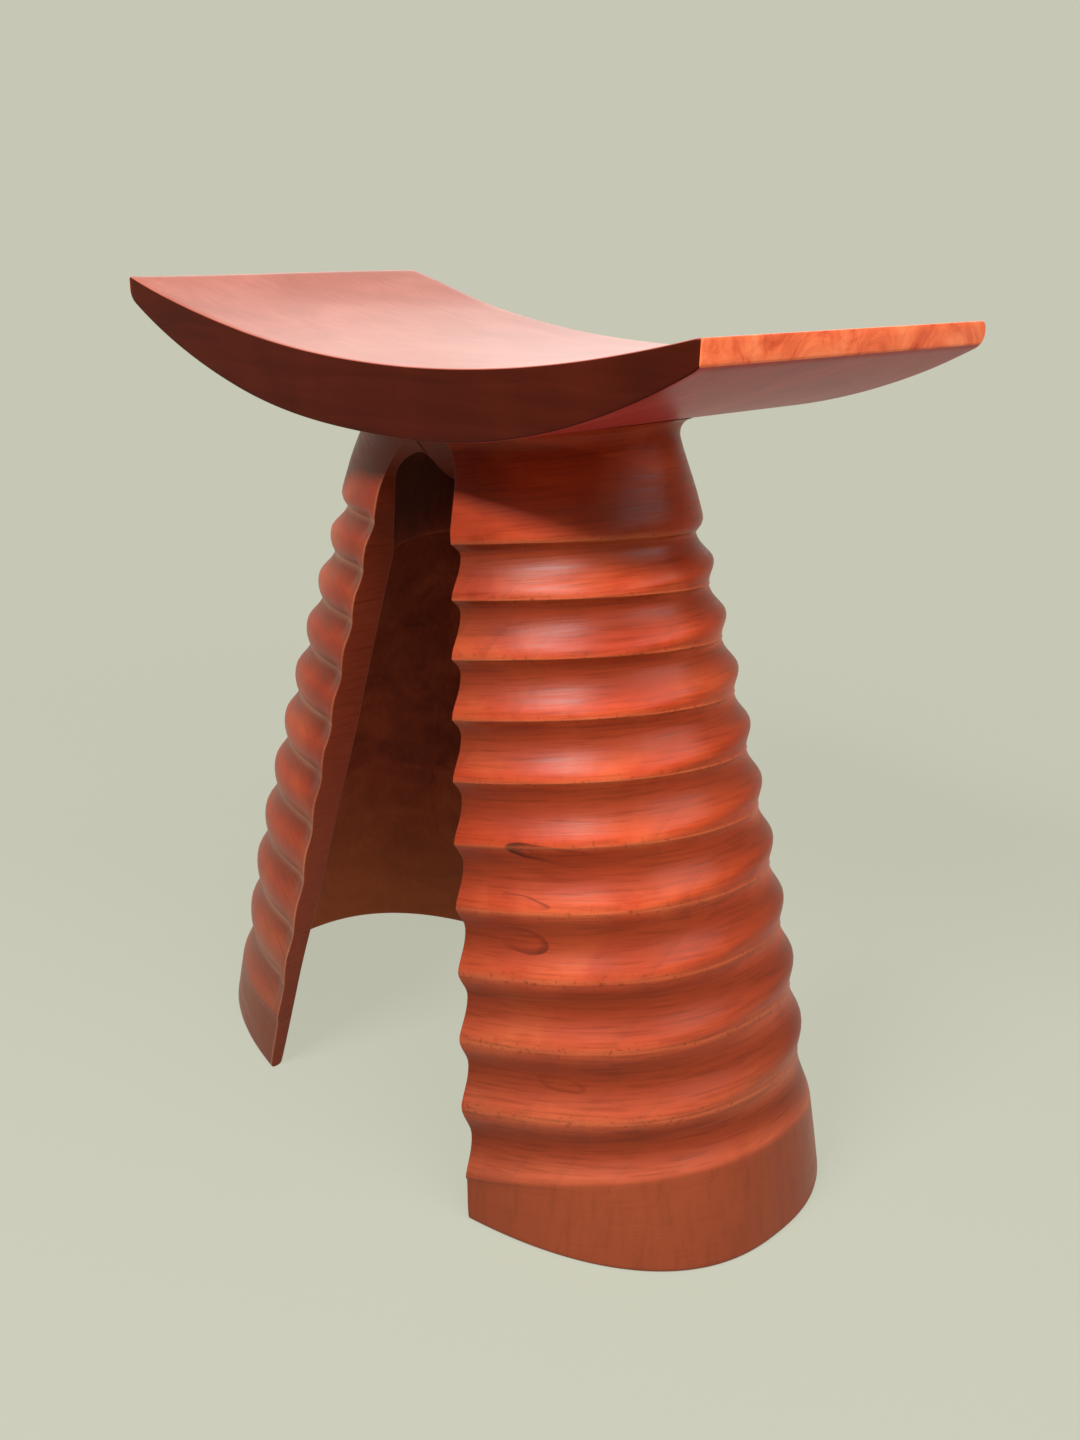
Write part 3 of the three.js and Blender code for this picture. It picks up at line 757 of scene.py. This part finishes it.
def carvedHardwood():
    # red tropical hardwood, carved, oiled and polished: warm, softly mottled, with broad soft highlights
    # on the ribs; painted highlights on the crests, painted shade in the grooves and over the left leg, a
    # painted shadow of the seat on the neck and a painted sheen on the lower ribs
    material, tree, shader = newMaterial("carved red hardwood, oiled and polished")
    place = addNode(tree, "ShaderNodeTexCoord").outputs["Object"]
    apart = addNode(tree, "ShaderNodeSeparateXYZ", {"Vector": place}).outputs
    mask = {key: addNode(tree, "ShaderNodeAttribute", attribute_name=key).outputs["Fac"]
            for key in ("footBand", "coveShade", "crest", "cutFace", "arris")}
    mottle = addNode(tree, "ShaderNodeTexNoise", {
        "Vector": place, "Scale": legLooks["mottlePerMetre"], "Detail": 4.0, "Roughness": 0.55,
        "Distortion": 0.6}).outputs["Fac"]
    colour = addNode(tree, "ShaderNodeValToRGB", {"Fac": mottle}, stops=[
        (0.32, legLooks["darkRed"]), (0.5, legLooks["midRed"]), (0.68, legLooks["lightRed"])
    ]).outputs["Color"]

    upright = addNode(tree, "ShaderNodeMapping", {"Vector": place, "Scale": (1.0, 1.0, 0.045)})
    fibre = addNode(tree, "ShaderNodeTexNoise", {
        "Vector": upright.outputs["Vector"], "Scale": legLooks["fibresPerMetre"], "Detail": 3.0,
        "Roughness": 0.6}).outputs["Fac"]
    fibreTone = addNode(tree, "ShaderNodeValToRGB", {"Fac": fibre}, stops=[
        (0.3, 0.66), (0.5, 0.95), (0.72, 1.0)])
    sideways = addNode(tree, "ShaderNodeMath", {0: apart["X"]}, operation="ABSOLUTE")
    alongRib = addNode(tree, "ShaderNodeMath", {
        0: sideways.outputs[0], 1: legLooks["polishRise"], 2: apart["Z"]}, operation="MULTIPLY_ADD")
    ribPlace = addNode(tree, "ShaderNodeCombineXYZ", {
        "X": apart["X"], "Y": apart["Y"], "Z": alongRib.outputs[0]})
    along = addNode(tree, "ShaderNodeMapping", {
        "Vector": ribPlace.outputs["Vector"], "Scale": (0.05, 0.05, 1.0)})
    polish = addNode(tree, "ShaderNodeTexNoise", {
        "Vector": along.outputs["Vector"], "Scale": legLooks["polishPerMetre"], "Detail": 2.0,
        "Roughness": 0.55}).outputs["Fac"]
    polishTone = addNode(tree, "ShaderNodeValToRGB", {"Fac": polish}, stops=[
        (0.3, 0.62), (0.5, 0.93), (0.7, 1.0)])

    frayed = strayedPlace(tree, place, legLooks["frayPerMetre"], legLooks["frayReach"])
    sheenFrom, sheenTo = legLooks["lowRibSheenHeights"]
    lowSheen = addNode(tree, "ShaderNodeMapRange", {
        "Value": apart["Z"], "From Min": sheenFrom, "From Max": sheenTo, "To Min": legLooks["lowRibSheenShare"],
        "To Max": 0.0})
    brown = addNode(tree, "ShaderNodeMath", {
        0: mask["footBand"], 1: legLooks["footShare"]}, operation="MULTIPLY")
    fibres = addNode(tree, "ShaderNodeMath", {
        0: mask["footBand"], 1: legLooks["footFibres"]}, operation="MULTIPLY")
    # painted shade in the coves, strongest where the groove is deepest
    coveShading = addNode(tree, "ShaderNodeMapRange", {
        "Value": mask["coveShade"], "From Min": 0.2, "To Max": legLooks["coveShadeShare"]})
    # painted highlight: a paler line along each crest
    crestHighlight = addNode(tree, "ShaderNodeMath", {0: mask["crest"], 1: mottle}, operation="MULTIPLY")
    speck = addNode(tree, "ShaderNodeTexNoise", {
        "Vector": place, "Scale": legLooks["specksPerMetre"], "Detail": 2.0})
    speckTone = addNode(tree, "ShaderNodeValToRGB", {"Fac": speck.outputs["Fac"]}, stops=[
        (0.58, 0.0), (0.70, 0.42)])
    byCrest = addNode(tree, "ShaderNodeMath", {0: mask["crest"], 1: 0.3}, operation="POWER")
    specks = addNode(tree, "ShaderNodeMath", {
        0: byCrest.outputs[0], 1: speckTone.outputs["Color"]}, operation="MULTIPLY")
    cut = addNode(tree, "ShaderNodeMath", {
        0: mask["cutFace"], 1: legLooks["cutFaceShare"]}, operation="MULTIPLY")
    streaks = addNode(tree, "ShaderNodeMapRange", {
        "Value": mask["footBand"], "To Min": legLooks["ribPolish"], "To Max": legLooks["footPolish"]})
    onLeft = addNode(tree, "ShaderNodeMapRange", {
        "Value": apart["X"], "From Min": legLooks["middleBlend"], "From Max": -legLooks["middleBlend"],
        "To Max": legLooks["lipHighlightShare"]})
    # painted highlight along the left leg's crests and arrises
    lipHighlight = addNode(tree, "ShaderNodeMath", {0: mask["crest"], 1: mask["arris"]}, operation="MAXIMUM")
    lipHighlight = addNode(tree, "ShaderNodeMath", {
        0: onLeft.outputs["Result"], 1: lipHighlight.outputs[0]}, operation="MULTIPLY")
    lipHighlight = addNode(tree, "ShaderNodeMath", {0: lipHighlight.outputs[0], 1: mottle}, operation="MULTIPLY")

    layers = [
        (growthRings(tree, place), "ring"), (lowSheen.outputs[0], "lowRibSheen"), (brown.outputs[0], "foot"),
        (fibres.outputs[0], fibreTone.outputs["Color"]), (figureLines(tree, frayed), "mark"),
        (paintedSeatShadow(tree, frayed), "mark"), (coveShading.outputs[0], "coveShade"), (crestHighlight.outputs[0], "crest"),
        (specks.outputs[0], "mark"), (cut.outputs[0], "cutFace"),
        (streaks.outputs[0], polishTone.outputs["Color"]), (1.0, legDarkening(tree, apart)),
        (lipHighlight.outputs[0], "leftLipHighlight"),
    ]
    for share, tint in layers:  # a named tint covers what is below it, a tone darkens it
        named = isinstance(tint, str)
        colour = addNode(tree, "ShaderNodeMix", {
            0: share, 6: colour, 7: srgb(legLooks[tint]) if named else tint}, data_type="RGBA",
            blend_type="MIX" if named else "MULTIPLY").outputs[2]
    smooth, dull = legLooks["roughness"]
    roughness = addNode(tree, "ShaderNodeMapRange", {
        "Value": polish, "From Min": 0.3, "From Max": 0.7, "To Min": smooth, "To Max": dull})
    height = addNode(tree, "ShaderNodeMath", {0: fibre, 1: 0.6, 2: polish}, operation="MULTIPLY_ADD")
    bump = addNode(tree, "ShaderNodeBump", {
        "Height": height.outputs[0], "Strength": legLooks["bumpStrength"], "Distance": legLooks["bumpDepth"]})
    tree.links.new(colour, shader.inputs["Base Color"])
    tree.links.new(roughness.outputs["Result"], shader.inputs["Roughness"])
    tree.links.new(bump.outputs["Normal"], shader.inputs["Normal"])
    shader.inputs["Specular IOR Level"].default_value = legLooks["shine"]
    return material


hollowLooks = {
    "dark": "#7a2c1a",
    "mid": "#9c4024",
    "light": "#b85430",
    "low": "#c46c40",         # painted light: paler near the floor, where light from the floor reaches into the hollow
    "lowHeights": (0.14, 0.02),
    "lowShare": 0.55,
    "high": "#1c0608",        # painted shade: dark at the top of the well
    "highHeights": (0.314, 0.334),
    "highShare": 0.6,
    "mottlePerMetre": 26.0,
    "fibresPerMetre": 380.0,
    "fibreShare": 0.6,
    "gougeWidth": 0.014,      # metres
    "gougeDepth": 0.0012,
    "roughness": 0.55,
    "shine": 0.1,
}


def gougedHardwood():
    # the same wood hollowed with a wide gouge and left unpolished: dull, mottled, shallow scallops
    material, tree, shader = newMaterial("gouged red hardwood, left dull")
    place = addNode(tree, "ShaderNodeTexCoord").outputs["Object"]
    mottle = addNode(tree, "ShaderNodeTexNoise", {
        "Vector": place, "Scale": hollowLooks["mottlePerMetre"], "Detail": 5.0, "Roughness": 0.62,
        "Distortion": 0.8})
    colour = addNode(tree, "ShaderNodeValToRGB", {"Fac": mottle.outputs["Fac"]}, stops=[
        (0.3, hollowLooks["dark"]), (0.5, hollowLooks["mid"]), (0.72, hollowLooks["light"])]).outputs["Color"]
    long = addNode(tree, "ShaderNodeMapping", {"Vector": place, "Scale": (1.0, 1.0, 0.35)}).outputs["Vector"]
    scallop = addNode(tree, "ShaderNodeTexVoronoi", {
        "Vector": long, "Scale": 1 / hollowLooks["gougeWidth"]}, feature="SMOOTH_F1")
    fibre = addNode(tree, "ShaderNodeTexNoise", {
        "Vector": long, "Scale": hollowLooks["fibresPerMetre"], "Detail": 3.0})
    fibreTone = addNode(tree, "ShaderNodeValToRGB", {"Fac": fibre.outputs["Fac"]}, stops=[
        (0.3, 0.7), (0.65, 1.0)])
    colour = addNode(tree, "ShaderNodeMix", {
        0: hollowLooks["fibreShare"], 6: colour, 7: fibreTone.outputs["Color"]}, data_type="RGBA",
        blend_type="MULTIPLY").outputs[2]
    up = addNode(tree, "ShaderNodeSeparateXYZ", {"Vector": place}).outputs["Z"]
    # painted light low in the hollow, painted shade at the top of the well
    for zone in ("low", "high"):
        start, end = hollowLooks[zone + "Heights"]
        share = addNode(tree, "ShaderNodeMapRange", {
            "Value": up, "From Min": start, "From Max": end, "To Max": hollowLooks[zone + "Share"]})
        colour = addNode(tree, "ShaderNodeMix", {
            0: share.outputs["Result"], 6: colour, 7: srgb(hollowLooks[zone])}, data_type="RGBA").outputs[2]
    height = addNode(tree, "ShaderNodeMath", {
        0: fibre.outputs["Fac"], 1: 0.25, 2: scallop.outputs["Distance"]}, operation="MULTIPLY_ADD")
    bump = addNode(tree, "ShaderNodeBump", {
        "Height": height.outputs[0], "Strength": 0.5, "Distance": hollowLooks["gougeDepth"]})
    tree.links.new(colour, shader.inputs["Base Color"])
    tree.links.new(bump.outputs["Normal"], shader.inputs["Normal"])
    shader.inputs["Roughness"].default_value = hollowLooks["roughness"]
    shader.inputs["Specular IOR Level"].default_value = hollowLooks["shine"]
    return material


seatLooks = {
    # each face of the board: dark, middle and light tone, roughness, shine, share of the growth rings
    "top": ("#a04636", "#ae5444", "#ba6454", 0.30, 0.5, 0.06),
    # painted shade: the long sides are far darker than the rest of the board
    "shadedLongSide": ("#3b1208", "#431409", "#4c180c", 0.40, 0.05, 0.15),
    # end grain, painted bright as a lit face: painted light on the ends
    "litEndGrain": ("#cc4a26", "#f47244", "#ff8856", 0.45, 0.2, 0.08),
    # partly painted reflection: the underside's tone is pinker and brighter in place of part of its sheen
    "under": ("#ae3431", "#c0403e", "#cc4e4d", 0.36, 0.16, 0.1),
    "ring": "#5c2014",
    "ringScale": 19.0,
    "porePerMetre": 32.0,     # blotches of the end grain
    "grainPerMetre": 260.0,
    "mottlePerMetre": 14.0,
    "grainShare": 0.35,
    "bumpDepth": 0.00015,
}


def seatHardwood(face):
    # one board of the same hardwood, polished: a satin top that mirrors the sky light at a low angle, smooth
    # long edges made dark with painted shade, open end grain painted bright as a lit face, a plainer
    # underside painted pinker in place of part of its sheen
    dark, mid, light, roughness, shine, rings = seatLooks[face]
    material, tree, shader = newMaterial(f"red hardwood seat board, {face}")
    place = addNode(tree, "ShaderNodeTexCoord").outputs["Object"]
    if face == "litEndGrain":
        grain = addNode(tree, "ShaderNodeTexNoise", {
            "Vector": place, "Scale": seatLooks["porePerMetre"], "Detail": 5.0, "Roughness": 0.65,
            "Distortion": 1.5}).outputs["Fac"]
        tone = grain
    else:
        lengthwise = addNode(tree, "ShaderNodeMapping", {
            "Vector": place, "Scale": (0.05, 1.0, 1.0)}).outputs["Vector"]
        grain = addNode(tree, "ShaderNodeTexNoise", {
            "Vector": lengthwise, "Scale": seatLooks["grainPerMetre"], "Detail": 4.0,
            "Roughness": 0.6}).outputs["Fac"]
        mottle = addNode(tree, "ShaderNodeTexNoise", {
            "Vector": place, "Scale": seatLooks["mottlePerMetre"], "Detail": 4.0,
            "Distortion": 0.8}).outputs["Fac"]
        tone = addNode(tree, "ShaderNodeMix", {
            0: seatLooks["grainShare"], 2: mottle, 3: grain}, data_type="FLOAT").outputs[0]
    colour = addNode(tree, "ShaderNodeValToRGB", {"Fac": tone}, stops=[
        (0.35, dark), (0.5, mid), (0.65, light)])
    bent = addNode(tree, "ShaderNodeMapping", {
        "Vector": place, "Location": (0.0, -0.02, -0.2), "Rotation": (0.0, 0.05, 0.03)})
    wave = addNode(tree, "ShaderNodeTexWave", {
        "Vector": bent.outputs["Vector"], "Scale": seatLooks["ringScale"], "Distortion": 3.0, "Detail": 2.0,
        "Detail Scale": 0.5}, wave_type="RINGS", rings_direction="X", wave_profile="SAW")
    line = addNode(tree, "ShaderNodeValToRGB", {"Fac": wave.outputs["Fac"]}, stops=[
        (0.0, 0.0), (0.7, 0.1), (1.0, 1.0)])
    share = addNode(tree, "ShaderNodeMath", {0: line.outputs["Color"], 1: rings}, operation="MULTIPLY")
    colour = addNode(tree, "ShaderNodeMix", {
        0: share.outputs[0], 6: colour.outputs["Color"], 7: srgb(seatLooks["ring"])}, data_type="RGBA")
    bump = addNode(tree, "ShaderNodeBump", {
        "Height": grain, "Strength": 0.2, "Distance": seatLooks["bumpDepth"]})
    tree.links.new(colour.outputs[2], shader.inputs["Base Color"])
    tree.links.new(bump.outputs["Normal"], shader.inputs["Normal"])
    shader.inputs["Roughness"].default_value = roughness
    shader.inputs["Specular IOR Level"].default_value = shine
    return material


dowelLooks = {"dark": "#8a5a3a", "light": "#b98a60", "fibresPerMetre": 900.0, "roughness": 0.6}


def turnedDowel():
    # straight-grained hardwood dowel, turned and left raw: pale brown, fine lengthwise grain
    material, tree, shader = newMaterial("turned hardwood dowel")
    place = addNode(tree, "ShaderNodeTexCoord").outputs["Object"]
    upright = addNode(tree, "ShaderNodeMapping", {
        "Vector": place, "Scale": (1.0, 1.0, 0.05)}).outputs["Vector"]
    fibre = addNode(tree, "ShaderNodeTexNoise", {
        "Vector": upright, "Scale": dowelLooks["fibresPerMetre"], "Detail": 3.0})
    colour = addNode(tree, "ShaderNodeValToRGB", {"Fac": fibre.outputs["Fac"]}, stops=[
        (0.3, dowelLooks["dark"]), (0.7, dowelLooks["light"])])
    tree.links.new(colour.outputs["Color"], shader.inputs["Base Color"])
    shader.inputs["Roughness"].default_value = dowelLooks["roughness"]
    return material


legWood, hollowWood, dowelWood = carvedHardwood(), gougedHardwood(), turnedDowel()
seatWoods = [seatHardwood(face) for face in ("top", "shadedLongSide", "litEndGrain", "under")]
print("materials made")

for sideName, side in (("left", -1), ("right", 1)):
    points, faces, faceMaterial, attributes = legSurface(side)
    woods = [legWood, hollowWood]
    piece = makePiece(f"{sideName}_leg_carved", points, faces, woods, faceMaterial, attributes)
    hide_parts(f"{sideName}_leg")
    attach(piece, "root")

grid, around, endOn = seatSurface()
rows, columns = grid.shape[:2]
ringIndex = np.arange(columns)
fans = []
for start, centre in ((0, rows * columns), ((rows - 1) * columns, rows * columns + 1)):
    fans.append(np.stack([ringIndex + start, np.roll(ringIndex, -1) + start, np.full(columns, centre)], -1))
points = np.concatenate([grid.reshape(-1, 3), grid[0].mean(0)[None], grid[-1].mean(0)[None]], 0)
litEndGrain = 2  # its place in seatWoods
faceMaterial = np.where(endOn[:, None], litEndGrain, around[None, :]).ravel()
faceMaterial = np.r_[faceMaterial, np.full(2 * columns, litEndGrain)]
faces = [gridFaces(rows, columns, closed=True), *fans]
seatPiece = makePiece("seat_board", points, faces, seatWoods, faceMaterial)
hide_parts("seat")
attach(seatPiece, "root")

for piece in bpy.data.objects:
    if piece.name.endswith(("_dowel_inner", "_dowel_front", "_dowel_back")):
        for slot in piece.material_slots:
            slot.material = dowelWood
print("pieces made")

stage = {
    "background": "#c6c7b5",
    "floorRadius": 6.0,
    "floorSides": 96,
    "fadeStart": 0.5,         # metres from the stool where the lit floor starts to fade to the flat colour
    "fadeEnd": 1.0,
    "bounce": 0.55,           # how much of the flat colour lights the stool from below
    "litShare": 0.15,         # share of the floor's tone near the stool that light and shadow reach
    "fill": 0.07,             # strength of the white world light
}


def seenDirectly(tree):
    # 1 for camera, glossy and transmission rays, 0 for the light that falls on the stool
    rays = addNode(tree, "ShaderNodeLightPath").outputs
    seen = rays["Is Camera Ray"]
    for kind in ("Is Glossy Ray", "Is Transmission Ray"):
        seen = addNode(tree, "ShaderNodeMath", {
            0: seen, 1: rays[kind]}, operation="ADD", use_clamp=True).outputs[0]
    return seen


floorMaterial, floorTree, floorShader = newMaterial("pale studio floor, matt paint")
floorShader.inputs["Base Color"].default_value = srgb(stage["background"])
floorShader.inputs["Roughness"].default_value = 0.95
floorShader.inputs["Specular IOR Level"].default_value = 0.0
place = addNode(floorTree, "ShaderNodeTexCoord").outputs["Object"]
away = addNode(floorTree, "ShaderNodeVectorMath", {0: place}, operation="LENGTH")
flatShare = addNode(floorTree, "ShaderNodeMapRange", {
    "Value": away.outputs["Value"], "From Min": stage["fadeStart"], "From Max": stage["fadeEnd"],
    "To Min": 1 - stage["litShare"], "To Max": 1.0}, interpolation_type="SMOOTHSTEP")
glow = addNode(floorTree, "ShaderNodeMapRange", {"Value": seenDirectly(floorTree), "To Min": stage["bounce"]})
flat = addNode(floorTree, "ShaderNodeEmission", {
    "Color": srgb(stage["background"]), "Strength": glow.outputs["Result"]})
floorMix = addNode(floorTree, "ShaderNodeMixShader", {
    0: flatShare.outputs["Result"], 1: floorShader.outputs[0], 2: flat.outputs[0]})
floorTree.links.new(floorMix.outputs[0], floorTree.nodes["Material Output"].inputs["Surface"])
turns = np.linspace(0, 2 * math.pi, stage["floorSides"], endpoint=False)
rim = np.stack([np.cos(turns), np.sin(turns), 0 * turns], -1) * stage["floorRadius"]
floorMesh = bpy.data.meshes.new("floor")
floorMesh.from_pydata(rim.tolist(), [], [list(range(len(turns)))])
floorMesh.materials.append(floorMaterial)
floor = bpy.data.objects.new("floor", floorMesh)
bpy.context.scene.collection.objects.link(floor)

world = bpy.data.worlds.new("soft studio")
world.use_nodes = True
bpy.context.scene.world = world
worldTree = world.node_tree
worldTree.nodes.clear()
shown = addNode(worldTree, "ShaderNodeBackground", {"Color": srgb(stage["background"]), "Strength": 1.0})
fill = addNode(worldTree, "ShaderNodeBackground", {"Color": srgb("#ffffff"), "Strength": stage["fill"]})
mixed = addNode(worldTree, "ShaderNodeMixShader", {
    0: seenDirectly(worldTree), 1: fill.outputs[0], 2: shown.outputs[0]})
addNode(worldTree, "ShaderNodeOutputWorld", {"Surface": mixed.outputs[0]})

lamps = {
    # azimuth and elevation in degrees seen from the stool, distance and size in metres, watts
    "key": {"azimuth": -86, "elevation": 43, "distance": 2.2, "size": (0.95, 0.34), "power": 54},
    "side": {"azimuth": -5, "elevation": 47, "distance": 2.2, "size": (1.8, 1.8), "power": 50},
    "back": {"azimuth": 132, "elevation": 14, "distance": 2.4, "size": (2.0, 0.9), "power": 6.8},
}
lampAimHeight = 0.25  # every lamp faces this height on the stool's axis
for name, lamp in lamps.items():
    light = bpy.data.lights.new(name, "AREA")
    light.shape = "RECTANGLE"
    light.size, light.size_y = lamp["size"]
    light.energy = lamp["power"]
    a, e = math.radians(lamp["azimuth"]), math.radians(lamp["elevation"])
    towards = np.array([math.cos(a) * math.cos(e), math.sin(a) * math.cos(e), math.sin(e)])
    lampObject = bpy.data.objects.new(name, light)
    lampObject.location = (towards * lamp["distance"] + [0, 0, lampAimHeight]).tolist()
    fromAim = lampObject.location.copy()
    fromAim.z -= lampAimHeight
    lampObject.rotation_euler = fromAim.to_track_quat("Z", "Y").to_euler()
    bpy.context.scene.collection.objects.link(lampObject)
print("stage, world and lamps made")

camera = {
    "location": (0.50663, -0.48035, 0.48868),
    "rotation": (69.125, -1.769, 45.466),  # degrees
    "lens": 33.27,
    "sensor": 36,
    "shift": (-0.0051, 0.0005),
}
cameraData = bpy.data.cameras.new("camera")
cameraData.lens = camera["lens"]
cameraData.sensor_width = camera["sensor"]
cameraData.shift_x, cameraData.shift_y = camera["shift"]
cameraObject = bpy.data.objects.new("camera", cameraData)
cameraObject.location = camera["location"]
cameraObject.rotation_euler = [math.radians(v) for v in camera["rotation"]]
bpy.context.scene.collection.objects.link(cameraObject)
bpy.context.scene.camera = cameraObject
bpy.context.scene.view_settings.view_transform = "Standard"
print("camera placed")
